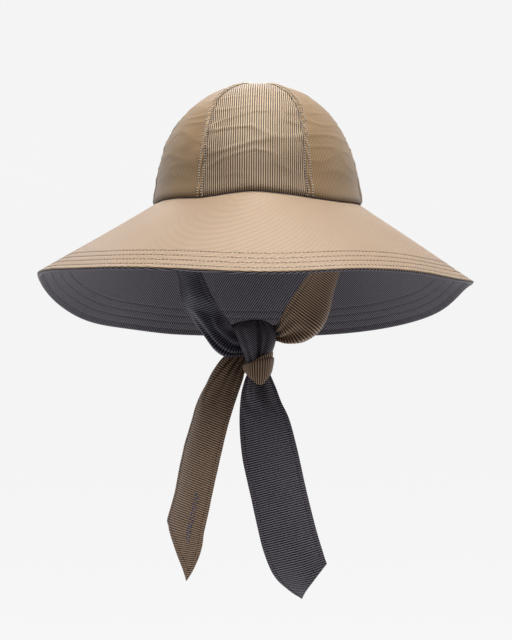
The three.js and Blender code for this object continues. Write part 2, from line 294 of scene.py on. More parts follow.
def ribbed_cloth(name, light, dark, roughness, rib_share=0.5, depth=1.0, shine="#FFF0D8"):
    """light and dark are the yarns' colours, rib_share the part of the pitch that light yarn
    covers, depth how clearly the cords stand out (1 on loose cloth, less where pressed flat), and
    shine the colour of the silk's gloss."""
    material, tree, shader = new_material(name)
    uv = add_node(tree, "ShaderNodeUVMap", uv_map="cloth").outputs["UV"]
    parts = add_node(tree, "ShaderNodeSeparateXYZ", {0: uv}).outputs
    where = add_node(tree, "ShaderNodeTexCoord").outputs["Object"]

    # Uneven yarn a few millimetres long, and slow drifts of shade a few centimetres long.
    slub = add_node(tree, "ShaderNodeTexNoise", {"Vector": where, "Scale": 160.0, "Detail": 3.0})
    drift = add_node(tree, "ShaderNodeTexNoise", {"Vector": where, "Scale": 14.0, "Detail": 2.0})

    # One wave for each cord, and a finer one for the threads that cross it.
    turn = add_node(tree, "ShaderNodeMath", {0: parts[0], 1: 2 * pi / RIB_PITCH}, operation="MULTIPLY")
    wobble = add_node(tree, "ShaderNodeMath", {0: slub.outputs["Fac"], 1: 0.12, 2: turn.outputs[0]},
                      operation="MULTIPLY_ADD")
    cord = add_node(tree, "ShaderNodeMath", {0: wobble.outputs[0]}, operation="SINE")
    cross = add_node(tree, "ShaderNodeMath", {0: parts[1], 1: 2 * pi / THREAD_PITCH}, operation="MULTIPLY")
    thread = add_node(tree, "ShaderNodeMath", {0: cross.outputs[0]}, operation="SINE")

    # The light yarn covers rib_share of the pitch, with soft edges.
    middle = 1 - 2 * rib_share
    stripe = add_node(tree, "ShaderNodeMapRange",
                      {"Value": cord.outputs[0], "From Min": middle - 0.55, "From Max": middle + 0.55,
                       "To Min": (1 - depth) * rib_share, "To Max": depth + (1 - depth) * rib_share},
                      interpolation_type="SMOOTHSTEP")
    light_yarn = add_node(tree, "ShaderNodeMix", {0: drift.outputs["Fac"], 6: srgb(light[0]),
                                                  7: srgb(light[1])}, data_type="RGBA")
    mixed = add_node(tree, "ShaderNodeMix", {0: stripe.outputs[0], 6: srgb(dark),
                                             7: light_yarn.outputs[2]}, data_type="RGBA")
    tree.links.new(mixed.outputs[2], shader.inputs["Base Color"])

    height = add_node(tree, "ShaderNodeMath", {0: thread.outputs[0], 1: 0.04, 2: cord.outputs[0]},
                      operation="MULTIPLY_ADD")
    bump = add_node(tree, "ShaderNodeBump", {"Strength": 0.45 * depth, "Distance": 0.16 * MM,
                                             "Height": height.outputs[0]})
    tree.links.new(bump.outputs[0], shader.inputs["Normal"])
    rough = add_node(tree, "ShaderNodeMapRange", {"Value": drift.outputs["Fac"],
                                                  "To Min": roughness - 0.06, "To Max": roughness + 0.08})
    tree.links.new(rough.outputs[0], shader.inputs["Roughness"])
    shader.inputs["Specular IOR Level"].default_value = 0.28
    shader.inputs["Specular Tint"].default_value = srgb(shine)
    shader.inputs["Sheen Weight"].default_value = 0.04
    shader.inputs["Sheen Roughness"].default_value = 0.5
    return material


COOL_SHINE = "#E8E8FF"
# Loose tan cloth: pale cords with dark gaps, which read as pinstripes.
TAN = ribbed_cloth("tan ribbed cotton and silk", ("#B1957C", "#A68971"), "#3F2F27", 0.54, 0.42)
# On the front and back panels both yarns are painted darker than on the loose tan: painted shade on the
# crown's upright walls.
TAN_FRONT_SHADED = ribbed_cloth("tan ribbed cotton and silk, along the grain",
                         ("#A08A72", "#96816A"), "#291F18", 0.56, 0.41)
# Pressed flat on the brim, the cords close their gaps, and the cloth reads as one soft colour.
TAN_PRESSED = ribbed_cloth("tan ribbed cotton and silk, pressed flat",
                           ("#9A8570", "#8E7860"), "#574636", 0.48, depth=0.85)
# On the side panels the stripes are faint, and both yarns are painted darker and browner: painted shade on
# the crown's upright walls.
TAN_SIDE_SHADED = ribbed_cloth("tan ribbed cotton and silk, across the grain",
                        ("#8D7455", "#82694A"), "#52412F", 0.50, depth=0.7)
# The inside of the hat: the same weave in grey and near black, with a colder gloss.
GREY = ribbed_cloth("grey ribbed cotton and silk", ("#7E777D", "#746D74"), "#121013", 0.5, 0.36,
                    shine=COOL_SHINE)
# On the grey tie the light cords are drawn a little narrower, and both yarns are painted darker: painted
# shade for the tie that hangs under the brim.
GREY_SHADED = ribbed_cloth("grey ribbed cotton and silk, pulled tight",
                          ("#66616A", "#5E5963"), "#0E0C10", 0.54, 0.34, shine=COOL_SHINE)
print("rib pitch", RIB_PITCH / MM, "mm")

# %% [markdown]
# ## Thread and stiffener
#
# The sewing thread is twisted polyester, and the stiffener inside the brim is matted fibre bonded
# into a sheet. Both are one colour with a fine grain. Real fibres are too small to show, so a soft
# noise of about half a millimetre on the thread, and coarser on the stiffener, stands for them.

# %% Sewing thread and stiffener
def plain_yarn(name, colour, roughness, grain_mm, bump_strength):
    """Twisted or matted fibre: one colour, with grain of a real size in its shade and relief."""
    material, tree, shader = new_material(name)
    where = add_node(tree, "ShaderNodeTexCoord").outputs["Object"]
    grain = add_node(tree, "ShaderNodeTexNoise",
                     {"Vector": where, "Scale": 1 / (grain_mm * MM), "Detail": 2.0})
    shade = add_node(tree, "ShaderNodeMix", {0: grain.outputs["Fac"]}, data_type="RGBA")
    base = np.array(srgb(colour))
    shade.inputs[6].default_value = (*(base[:3] * 0.7), 1)
    shade.inputs[7].default_value = (*np.minimum(base[:3] * 1.3, 1), 1)
    tree.links.new(shade.outputs[2], shader.inputs["Base Color"])
    bump = add_node(tree, "ShaderNodeBump", {"Strength": bump_strength, "Distance": 0.1 * MM,
                                             "Height": grain.outputs["Fac"]})
    tree.links.new(bump.outputs[0], shader.inputs["Normal"])
    shader.inputs["Roughness"].default_value = roughness
    return material


DARK_THREAD = plain_yarn("dark polyester sewing thread", "#26232A", 0.6, 0.4, 0.4)
# The puckers are the tan cloth painted lighter than its lightest yarn: a painted highlight on the raised
# cloth.
TAN_PUCKER_HIGHLIGHT = plain_yarn("tan cotton and silk, puckered between stitches", "#B39D82", 0.55, 0.5, 0.5)
BLUE_THREAD = plain_yarn("blue rayon embroidery thread", "#2C4784", 0.4, 0.4, 0.4)
STIFFENER = plain_yarn("bonded non-woven stiffener", "#E4E1D8", 0.9, 1.5, 0.6)
print("materials:", len(bpy.data.materials))

# %% [markdown]
# ## Stitches
#
# A row of topstitching is the same small stitch, over and over, along a line on the cloth. That
# is what Geometry Nodes are good at: the tree walks along a curve, puts a stitch on each step,
# turns it to the curve and lets it vary a little. Modelling each stitch by hand would be far
# more work, and a bump in the material wouldn't stand proud of the cloth.

# %% Stitch tree
def build_stitch_tree():
    tree = bpy.data.node_groups.new("stitch rows", "GeometryNodeTree")
    tree.interface.new_socket("Geometry", in_out="INPUT", socket_type="NodeSocketGeometry")
    for name, value in (("Stitch length", 0.0021), ("Gap", 0.0007), ("Thread radius", 0.0002),
                        ("Unevenness", 0.10), ("Shift", 0.0)):
        socket = tree.interface.new_socket(name, in_out="INPUT", socket_type="NodeSocketFloat")
        socket.default_value = value
    tree.interface.new_socket("Seed", in_out="INPUT", socket_type="NodeSocketInt").default_value = 7
    tree.interface.new_socket("Thread", in_out="INPUT", socket_type="NodeSocketMaterial")
    tree.interface.new_socket("Geometry", in_out="OUTPUT", socket_type="NodeSocketGeometry")
    given = tree.nodes.new("NodeGroupInput").outputs
    step = add_node(tree, "ShaderNodeMath", {0: given["Stitch length"], 1: given["Gap"]}, operation="ADD")
    points = add_node(tree, "GeometryNodeCurveToPoints",
                      {"Curve": given["Geometry"], "Length": step.outputs[0]}, mode="LENGTH")
    ahead = add_node(tree, "ShaderNodeVectorMath", {0: points.outputs["Tangent"], "Scale": given["Shift"]},
                     operation="SCALE")
    moved = add_node(tree, "GeometryNodeSetPosition", {"Geometry": points.outputs["Points"],
                                                       "Offset": ahead.outputs[0]})
    wander = add_node(tree, "FunctionNodeRandomValue", {"Seed": given["Seed"]}, data_type="FLOAT_VECTOR")
    for socket, value in ((0, (-1, -1, -1)), (1, (1, 1, 1))):
        wander.inputs[socket].default_value = value
    off = add_node(tree, "ShaderNodeVectorMath", {0: wander.outputs[0], "Scale": given["Unevenness"]},
                   operation="SCALE")
    aim = add_node(tree, "ShaderNodeVectorMath", {0: points.outputs["Tangent"], 1: off.outputs[0]},
                   operation="ADD")
    turned = add_node(tree, "FunctionNodeAlignRotationToVector", {"Vector": aim.outputs[0]}, axis="Z")
    stitch = add_node(tree, "GeometryNodeMeshUVSphere", {"Segments": 6, "Rings": 4, "Radius": 1.0})
    half = add_node(tree, "ShaderNodeMath", {0: given["Stitch length"], 1: 0.5}, operation="MULTIPLY")
    scale = add_node(tree, "ShaderNodeCombineXYZ", {0: given["Thread radius"], 1: given["Thread radius"],
                                                    2: half.outputs[0]})
    placed = add_node(tree, "GeometryNodeInstanceOnPoints",
                      {"Points": moved.outputs[0], "Instance": stitch.outputs["Mesh"],
                       "Rotation": turned.outputs[0], "Scale": scale.outputs[0]})
    real = add_node(tree, "GeometryNodeRealizeInstances", {0: placed.outputs[0]})
    smooth = add_node(tree, "GeometryNodeSetShadeSmooth", {0: real.outputs[0]})
    coloured = add_node(tree, "GeometryNodeSetMaterial", {"Geometry": smooth.outputs[0],
                                                          "Material": given["Thread"]})
    add_node(tree, "NodeGroupOutput", {0: coloured.outputs[0]})
    return tree


STITCH_TREE = build_stitch_tree()


def stitch_rows(name, lines, **sizes):
    """Stitches along lines of points in mm, as one plain mesh object."""
    curve = bpy.data.curves.new(name + "_path", "CURVE")
    curve.dimensions = "3D"
    for line in lines:
        spline = curve.splines.new("POLY")
        spline.points.add(len(line) - 1)
        spline.points.foreach_set("co", np.column_stack([line * MM, np.ones(len(line))]).ravel())
    path = bpy.data.objects.new(name + "_path", curve)
    bpy.context.collection.objects.link(path)
    modifier = path.modifiers.new("stitches", "NODES")
    modifier.node_group = STITCH_TREE
    values = {"Thread": DARK_THREAD, **sizes}
    for item in STITCH_TREE.interface.items_tree:
        if item.in_out == "INPUT" and item.name in values:
            modifier[item.identifier] = values[item.name]
    depsgraph = bpy.context.evaluated_depsgraph_get()
    mesh = bpy.data.meshes.new_from_object(path.evaluated_get(depsgraph), depsgraph=depsgraph)
    bpy.data.objects.remove(path)
    mesh.name = name
    made = bpy.data.objects.new(name, mesh)
    bpy.context.collection.objects.link(made)
    print(name, len(lines), "rows,", len(mesh.polygons), "faces")
    return made


# %% [markdown]
# ## The crown
#
# Six panels meet at the top, like the gores of a ball. A soft dome could be one smooth surface
# with lines drawn on it, but sewn cloth shows how it was made: it dips into each seam, rises
# beside it, dips again under each row of topstitching and puckers where the thread pulls. So
# each panel is its own sheet, and its distance to the seam shapes all of that.

# %% Crown sizes and shape
HALF_WIDTH, HALF_LENGTH, HEIGHT = 84.6, 100.8, 101.2  # outside, mm
FULLNESS = 2.2  # exponent of the dome's profile
CLOTH = 0.6  # thickness of one layer, mm
LINING_INSET = 2.0  # from the outside to the lining, mm
BASE_FLARE = 1.9  # the cloth stands out a little just above the brim, mm
# The seam between crown and brim rises and dips a little: (degrees from the front to the left,
# height in mm, half the width in degrees).
SEAM_WAVES = [(0, 1.1, 12), (45, -3.7, 28), (92, 1.2, 15), (150, -1.2, 16), (210, -1.2, 16), (268, 0.7, 16),
              (330, -2.8, 17)]


def waves_round(waves, angle):
    """The height of soft rises and dips round the head, at an angle in radians."""
    total = 0.0
    for middle, height, spread in waves:
        apart = (np.degrees(angle) - middle + 180) % 360 - 180
        total = total + height * np.exp(-((apart / spread) ** 2))
    return total


def crown_point(angle, rise, lift):
    """The crown's surface: angle 0 is the front, rise 0 the base and 1 the top, and lift is how
    far outside the CAD surface the point lies, in mm."""
    up = np.sin(rise * pi / 2) ** (2 / FULLNESS)
    away = np.cos(rise * pi / 2) ** (2 / FULLNESS)
    flare = BASE_FLARE * np.exp(-((rise / 0.05) ** 2))
    x = (HALF_WIDTH + lift + flare) * away * np.sin(angle)
    y = -(HALF_LENGTH + lift + flare) * away * np.cos(angle)
    z = (HEIGHT + lift) * up
    z = z + waves_round(SEAM_WAVES, angle) * np.exp(-((z / 16) ** 2))
    return np.stack([x, y, z], axis=-1)


def front_seam(rise):
    """Degrees from the front centre to the front panel's seams, which open towards the top."""
    return 28.9 + 7.0 * np.clip(rise / 0.55, 0, 1) ** 1.6 + 2.0 * np.exp(-((rise / 0.17) ** 2))


PANELS = {
    "front": (lambda r: -front_seam(r), front_seam),
    "right_front": (lambda r: -90 + 0 * r, lambda r: -front_seam(r)),
    "right_back": (lambda r: front_seam(r) - 180, lambda r: -90 + 0 * r),
    "back": (lambda r: 180 - front_seam(r), lambda r: 180 + front_seam(r)),
    "left_back": (lambda r: 90 + 0 * r, lambda r: 180 - front_seam(r)),
    "left_front": (front_seam, lambda r: 90 + 0 * r),
}


# %% One crown panel
TOPSTITCH_OFFSET = 2.8  # from the seam, mm
PANEL_POINT = 0.9995  # share of the crown's rise where the six points meet, a hair short of its top
INSIDE_CROWN = [0, 0, 10]  # a point that every panel faces away from, mm
MOST_RELIEF = 1.2  # mm


def crowded_to_edges(count, crowding):
    """Steps from 0 to 1 that lie closer together at both ends."""
    t = np.linspace(0, 1, count)
    return t - crowding * np.sin(2 * pi * t) / (2 * pi)


def seam_relief(distance, along, seed):
    """How far cloth rises at a distance from a seam, at a place along it, both in mm."""
    pucker = smooth_noise(seed, along / 2.6, along / 1.7) * np.exp(-distance / 5.0)
    pull = smooth_noise(seed + 5, along / 7.0, distance / 16.0) * np.exp(-((distance / 15) ** 2))
    return (
        0.34 * pucker + 0.75 * pull
        + groove(distance - 1.3, 0.35, 0.9)
        - groove(distance, 1.4, 0.8)
        - groove(distance - TOPSTITCH_OFFSET, 0.30, 0.6)
    )


def panel_grid(place, columns, rows, inset, seed, strength):
    """(surface grid, uv grid, relief) of one panel. strength is the share of the relief it shows."""
    share = crowded_to_edges(columns, 0.86)[None, :]
    rise = np.minimum(np.linspace(0, 1, rows)[:, None] ** 0.94, PANEL_POINT)
    start, stop = (np.radians(seam(rise)) for seam in PANELS[place])
    angle = start + (stop - start) * share
    base = crown_point(angle, rise, -inset)
    steps = np.linalg.norm(np.diff(base, axis=1), axis=2)
    across = np.concatenate([np.zeros((rows, 1)), np.cumsum(steps, axis=1)], axis=1)
    width = across[:, -1:]
    middle = base[:, columns // 2]
    up = np.concatenate([[0], np.cumsum(np.linalg.norm(np.diff(middle, axis=0), axis=1))])[:, None]
    uv = np.stack(np.broadcast_arrays(across - width / 2, up), axis=-1)
    left, right = across, width - across
    near_top = np.clip((width - 4) / 26, 0, 1)  # rows of stitches run together where it narrows
    relief = seam_relief(left, up, seed)
    relief = relief + seam_relief(right, up, seed + 11)
    relief = relief * (0.25 + 0.75 * near_top)
    relief = relief - groove(up, 1.0, 1.6)
    relief = relief + 0.45 * smooth_noise(seed + 3, base[..., 0] / 13, base[..., 2] / 9, base[..., 1] / 15)

    # Thin creases lie across the panel, most of them about two fifths of the way up.
    pulls = smooth_noise(seed + 4, uv[..., 0] / 16, uv[..., 1] / 3.6 + 0.15 * np.abs(uv[..., 0]) / 3.6)
    crease = 0.9 * np.exp(-((pulls / 0.20) ** 2)) - 0.25
    creased = 1 if place in ("front", "back") else 0.5
    relief = relief + crease * np.exp(-(((up - 58) / 40) ** 2)) * creased
    return base, uv, relief * strength


def crown_shell(prefix, inset, material, columns, rows, strength):
    """Six panels side by side, as a dictionary from their places to their objects."""
    made = {}
    for number, place in enumerate(PANELS):
        base, uv, relief = panel_grid(place, columns, rows, inset, 20 + 7 * number, strength)
        normal = grid_normals(base, False)
        outward = np.sign(np.sum(normal * (base - INSIDE_CROWN), axis=2, keepdims=True))
        normal = normal * outward
        relief = np.clip(relief, -MOST_RELIEF, MOST_RELIEF)[..., None]
        upper = base + normal * relief
        lower = base + normal * (relief - CLOTH)
        name = f"{prefix}_{place}_cloth"
        # The crown's tan panels take copies of the tan with painted shade: darker at the front and back,
        # darker and browner at the sides.
        cloth = material
        if material == TAN:
            cloth = TAN_FRONT_SHADED if place in ("front", "back") else TAN_SIDE_SHADED
        made[place] = cloth_sheet(name, upper, lower, uv, cloth)
        SURFACES[name] = (upper, lower, normal)
    return made


SURFACES = {}  # each sheet's two faces and its normals, for the stitches that follow
crown = crown_shell("crown", 0.0, TAN, columns=62, rows=130, strength=1)
lining = crown_shell("lining", LINING_INSET, GREY, columns=30, rows=44, strength=0.3)
print("crown panels:", len(crown), "lining panels:", len(lining))


# %% Topstitching beside the crown's seams
def row_beside_seam(upper, normal, from_left, lift):
    """The line on a panel at a set distance from its seam, a little proud of the cloth."""
    line = []
    order = slice(None) if from_left else slice(None, None, -1)
    for points, normals in zip(upper[:, order], normal[:, order]):
        walked = np.concatenate([[0], np.cumsum(np.linalg.norm(np.diff(points, axis=0), axis=1))])
        if walked[-1] < 2.6 * TOPSTITCH_OFFSET:
            break
        spot = [np.interp(TOPSTITCH_OFFSET, walked, points[:, i] + normals[:, i] * lift) for i in range(3)]
        line.append(spot)
    return np.array(line)


crown_rows = []
for place in PANELS:
    upper, _, normal = SURFACES[f"crown_{place}_cloth"]
    for from_left in (True, False):
        crown_rows.append(row_beside_seam(upper, normal, from_left, lift=0.22))
# A stitch pulls the cloth in and the cloth swells up before the next one, so puckers stand between the dark
# stitches, painted light as a highlight. Both come from the same tree, half a step apart.
crown_stitches = stitch_rows("crown_topstitching", crown_rows,
                             **{"Stitch length": 0.0014, "Gap": 0.0007, "Thread radius": 0.0008})
crown_puckers = stitch_rows("crown_puckers", crown_rows,
                            **{"Stitch length": 0.0011, "Gap": 0.0010, "Thread radius": 0.00095,
                               "Shift": 0.00105, "Thread": TAN_PUCKER_HIGHLIGHT})

# %% [markdown]
# ## The brim
#
# The brim is one long curved strip, cut flat and closed by a seam at the back. Its ribs ran
# straight on the flat cloth. Bent round the head they lie along the edge at the front, and turn
# until they meet in a chevron at the back seam. To find that pattern the brim is unrolled: at
# each step round the head, the strip turns by the seam's own turn times the cosine of the slope.

# %% Brim sizes and shape
BRIM_WIDTH = 118.0  # from the crown seam to the edge, mm
BRIM_HALF_STACK = 1.2  # from the middle of the brim's layers to the cloth's outside, mm
BRIM_SEAM_INSET = 0.75  # how far inside the crown's base the brim starts, mm
# The brim starts this far below the crown's base, in mm. That leaves an open slit of up to 0.9 mm
# all the way round, where a real hat is sewn shut.
BRIM_SEAM_DROP = 1.26
# The free edge waves more than the seam does, in the same three numbers.
EDGE_LIFT = 0.9
EDGE_WAVES = [(22, 1.5, 12), (58, -6.6, 18), (94, 6.4, 13), (212, -1.6, 14), (243, -5.3, 18), (279, 3.6, 12),
              (311, -1.9, 14), (343, 1.5, 16)]
EDGE_ROWS = [5.4, 12.4, 19.2, 26.3]  # rows of topstitching, from the edge, mm
QUILTED_WIDTH = 32  # the part next to the edge that needs a fine mesh for its stitching, mm
ROLL_START = 1.5  # where the rolled edge starts, from the edge, mm
AROUND = 480  # steps round the head
BRIM_SEAM = radians(158)  # where the strip is closed, just left of the centre back
GRAIN_AT = radians(-12)  # where the ribs run along the edge


def brim_slope(angle):
    """How steeply the brim falls, in radians: least beside the front and most at the back."""
    return np.radians(42.4 - 11.2 * np.cos(angle) + 5.2 * np.cos(2 * angle) + 2.2 * np.cos(3 * angle)
                      + 0.9 * np.sin(angle))


def brim_wave(angle, along):
    """Soft waves of the free edge, and the dips of the head seam, in mm of height."""
    edge = (EDGE_LIFT + waves_round(EDGE_WAVES, angle)) * (np.maximum(along, 0) / BRIM_WIDTH) ** 1.6
    return edge + waves_round(SEAM_WAVES, angle) * np.exp(-((along / 22) ** 2))


def brim_point(angle, along, lift):
    """A point on the brim: along is the distance from the crown seam and lift the height above
    the middle of the cloth, in mm."""
    half_width, half_length = HALF_WIDTH - BRIM_SEAM_INSET, HALF_LENGTH - BRIM_SEAM_INSET
    out_x, out_y = half_length * np.sin(angle), -half_width * np.cos(angle)
    size = np.hypot(out_x, out_y)
    slope = brim_slope(angle)
    across = along * np.cos(slope) + lift * np.sin(slope)
    x = half_width * np.sin(angle) + out_x / size * across
    y = -half_length * np.cos(angle) + out_y / size * across
    z = -BRIM_SEAM_DROP - along * np.sin(slope) + lift * np.cos(slope) + brim_wave(angle, along)
    return np.stack([x, y, z], axis=-1)


# %% Unroll the brim
def unrolled_brim(angles, alongs):
    """UV in mm on the flat pattern, for every angle and distance from the seam. U runs across
    the ribs and V along them."""
    x, y = (HALF_WIDTH - BRIM_SEAM_INSET) * np.sin(angles), -(HALF_LENGTH - BRIM_SEAM_INSET) * np.cos(angles)
    dx, dy = np.diff(x), np.diff(y)
    heading = np.unwrap(np.arctan2(np.gradient(y), np.gradient(x)))
    turn = np.diff(heading) * np.cos(brim_slope((angles[1:] + angles[:-1]) / 2))
    flat_heading = np.concatenate([[0], np.cumsum(turn)])
    flat_heading -= np.interp(GRAIN_AT, angles, flat_heading)
    mid = (flat_heading[1:] + flat_heading[:-1]) / 2
    step = np.hypot(dx, dy)
    flat_x = np.concatenate([[0], np.cumsum(step * np.cos(mid))])
    flat_y = np.concatenate([[0], np.cumsum(step * np.sin(mid))])
    u = flat_y[:, None] - np.cos(flat_heading)[:, None] * alongs
    v = flat_x[:, None] + np.sin(flat_heading)[:, None] * alongs
    return np.stack([u, v], axis=-1)


# %% Brim shells
def edge_profile(side):
    """Outline of one shell, as [along, lift] pairs for its face and for its hidden back."""
    plain = np.linspace(0, BRIM_WIDTH - QUILTED_WIDTH, 26)
    sewn = np.linspace(BRIM_WIDTH - QUILTED_WIDTH, BRIM_WIDTH - ROLL_START, 56)[1:]
    flat = np.concatenate([plain, sewn])
    if side > 0:
        radius, centre, start, end = 0.62, (BRIM_WIDTH - 0.8, 0.78), 80, -60
    else:
        radius, centre, start, end = 1.05, (BRIM_WIDTH - 1.2, 0.85), 95, -50
    turn = np.radians(np.linspace(start, end, 8))
    roll = np.column_stack([centre[0] + radius * np.cos(turn), centre[1] + radius * np.sin(turn)])
    full = centre[1] + radius - BRIM_HALF_STACK  # how far the roll stands out from the flat cloth
    puffed = BRIM_HALF_STACK + full * np.exp(-(((BRIM_WIDTH - ROLL_START - flat) / 2.0) ** 2))
    face = np.concatenate([np.column_stack([flat, puffed]), roll])
    back = np.column_stack([np.minimum(face[:, 0], BRIM_WIDTH - 1.8),
                            np.where(face[:, 0] > BRIM_WIDTH - 3.2, 0.30, BRIM_HALF_STACK - CLOTH)])
    return face * [1, side], back * [1, side]


def brim_relief(angles, alongs, seed):
    """How far the brim's face rises: rows of stitches quilt it, and the thread puckers it."""
    from_edge = BRIM_WIDTH - alongs
    round_edge = angles[:, None] * 180.0
    relief = np.zeros((len(angles), len(alongs)))
    for number, row in enumerate(EDGE_ROWS):
        relief -= groove(from_edge - row, 0.36, 0.9)
        pucker = smooth_noise(seed + number, round_edge / 2.6, round_edge / 4.4)
        relief += 0.10 * pucker * np.exp(-((from_edge - row) / 3.0) ** 2)
    edge_pucker = smooth_noise(seed + 9, round_edge / 3.4, round_edge / 7.0)
    relief += 0.16 * edge_pucker * np.exp(-((from_edge - 2.5) / 2.6) ** 2)
    relief += 0.35 * smooth_noise(seed + 21, round_edge / 30, alongs[None, :] / 22)
    relief -= groove(alongs, 0.7, 1.4)
    back_seam = (pi - np.abs(pi - (BRIM_SEAM - angles[:, None]))) * (100 + alongs * 0.7)
    relief -= groove(back_seam, 0.6, 1.0)
    return np.clip(relief, -0.5, 0.8) * np.clip(from_edge / 1.6, 0, 1)


angles = np.linspace(BRIM_SEAM - 2 * pi, BRIM_SEAM, AROUND + 1)


def brim_shell(name, side, material, seed):
    """One cloth of the brim. side is 1 for the top and -1 for the underside."""
    face, back = edge_profile(side)
    relief = brim_relief(angles[:-1], face[:, 0], seed)
    upper = brim_point(angles[:-1, None], face[None, :, 0], face[None, :, 1] + side * relief)
    lower = brim_point(angles[:-1, None], back[None, :, 0], back[None, :, 1])
    wrapped = np.cumsum(np.concatenate([[0], np.hypot(*np.diff(face, axis=0).T)]))
    beyond = np.maximum(wrapped - BRIM_WIDTH, 0)  # the roll carries the pattern round the edge
    uv = unrolled_brim(angles, np.minimum(wrapped, BRIM_WIDTH) + beyond)
    SURFACES[name] = (upper, lower, None)
    return cloth_sheet(name, upper, lower, uv, material, ring=True)


brim_top = brim_shell("brim_top_cloth", 1, TAN_PRESSED, 40)
brim_under = brim_shell("brim_under_cloth", -1, GREY, 60)

STIFFENER_HALF = 0.3  # half its thickness, mm
alongs = np.linspace(2.0, BRIM_WIDTH - 3.0, 60)
stiffener = cloth_sheet("brim_stiffener",
                        brim_point(angles[:-1, None], alongs[None, :], STIFFENER_HALF),
                        brim_point(angles[:-1, None], alongs[None, :], -STIFFENER_HALF),
                        unrolled_brim(angles, alongs), STIFFENER, ring=True)
slopes = np.degrees(brim_slope(angles))
print("the brim falls by", round(slopes.min(), 1), "to", round(slopes.max(), 1), "degrees")


# %% Topstitching round the brim
def brim_row(name, row, side, lift):
    """A closed line round the brim, row mm from its edge and lift mm proud of the cloth."""
    upper = SURFACES[name][0]
    face, _ = edge_profile(side)
    along = BRIM_WIDTH - row
    column = int(np.argmin(np.abs(face[:, 0] - along)))
    ahead = (along - face[column, 0]) / (face[column + 1, 0] - face[column, 0])
    line = upper[:, column] * (1 - ahead) + upper[:, column + 1] * ahead
    line = line + [0, 0, side * lift]
    return np.concatenate([line, line[:1]])


THREAD_LIFT = 0.10  # mm
for shell, side, label in (("brim_top_cloth", 1, "brim_top_topstitching"),
                           ("brim_under_cloth", -1, "brim_under_topstitching")):
    rows = [brim_row(shell, row, side, THREAD_LIFT) for row in EDGE_ROWS]
    thread_radius = 0.00031 if side > 0 else 0.0002
    made = stitch_rows(label, rows,
                       **{"Stitch length": 0.0023, "Gap": 0.0010, "Thread radius": thread_radius})
    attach(made, "hat")

# %% [markdown]
# ## Crown and brim join the frame
#
# The crown and the brim don't move against each other, so every piece of them rides on the hat's body. Each
# sheet stands in for its plain solid there, which is hidden.

# %% Join the crown and the brim
for place in PANELS:
    for shell, node, slot in ((crown, "crown_panel_", "tan_cloth"), (lining, "lining_panel_", "grey_cloth")):
        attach(shell[place], "hat")
        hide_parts(node + place)
for piece, node, slot in ((brim_top, "brim_outer", "tan_cloth"), (brim_under, "brim_lining", "grey_cloth"),
                          (stiffener, "brim_interfacing", "stiffener")):
    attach(piece, "hat")
    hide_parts(node)
for piece in (crown_stitches, crown_puckers):
    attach(piece, "hat")

# %% [markdown]
# ## The ties
#
# A tie is a flat tube 48 mm wide, tan on one side and grey on the other, pressed and topstitched
# along both edges. Cloth like this bends and folds but hardly stretches, so each tie is given by
# the way its two edges run, and what is left of its width goes into a belly or a fold between
# them. A cloth simulation could find such folds too, but the two edges say directly what the
# ties do: they turn to face the front, gather and run into the knot.

# %% Ribbon helper
TIE_WIDTH = 48.0  # mm
TIE_STITCH_INSET = 4.0  # from the tie's edge to its topstitching, mm
TIE_CROWDING = 0.55  # how much closer the mesh's columns lie at the edges


def through(stops, count):
    """A smooth path through stops, in count steps."""
    stops = np.asarray(stops, float)
    padded = np.vstack([2 * stops[0] - stops[1], stops, 2 * stops[-1] - stops[-2]])
    t = np.linspace(0, len(stops) - 1, count)
    i = np.minimum(t.astype(int), len(stops) - 2)
    s = (t - i)[:, None]
    p0, p1, p2, p3 = (padded[i + k] for k in range(4))
    return 0.5 * (2 * p1 + (p2 - p0) * s + (2 * p0 - 5 * p1 + 4 * p2 - p3) * s**2
                  + (3 * p1 - p0 - 3 * p2 + p3) * s**3)


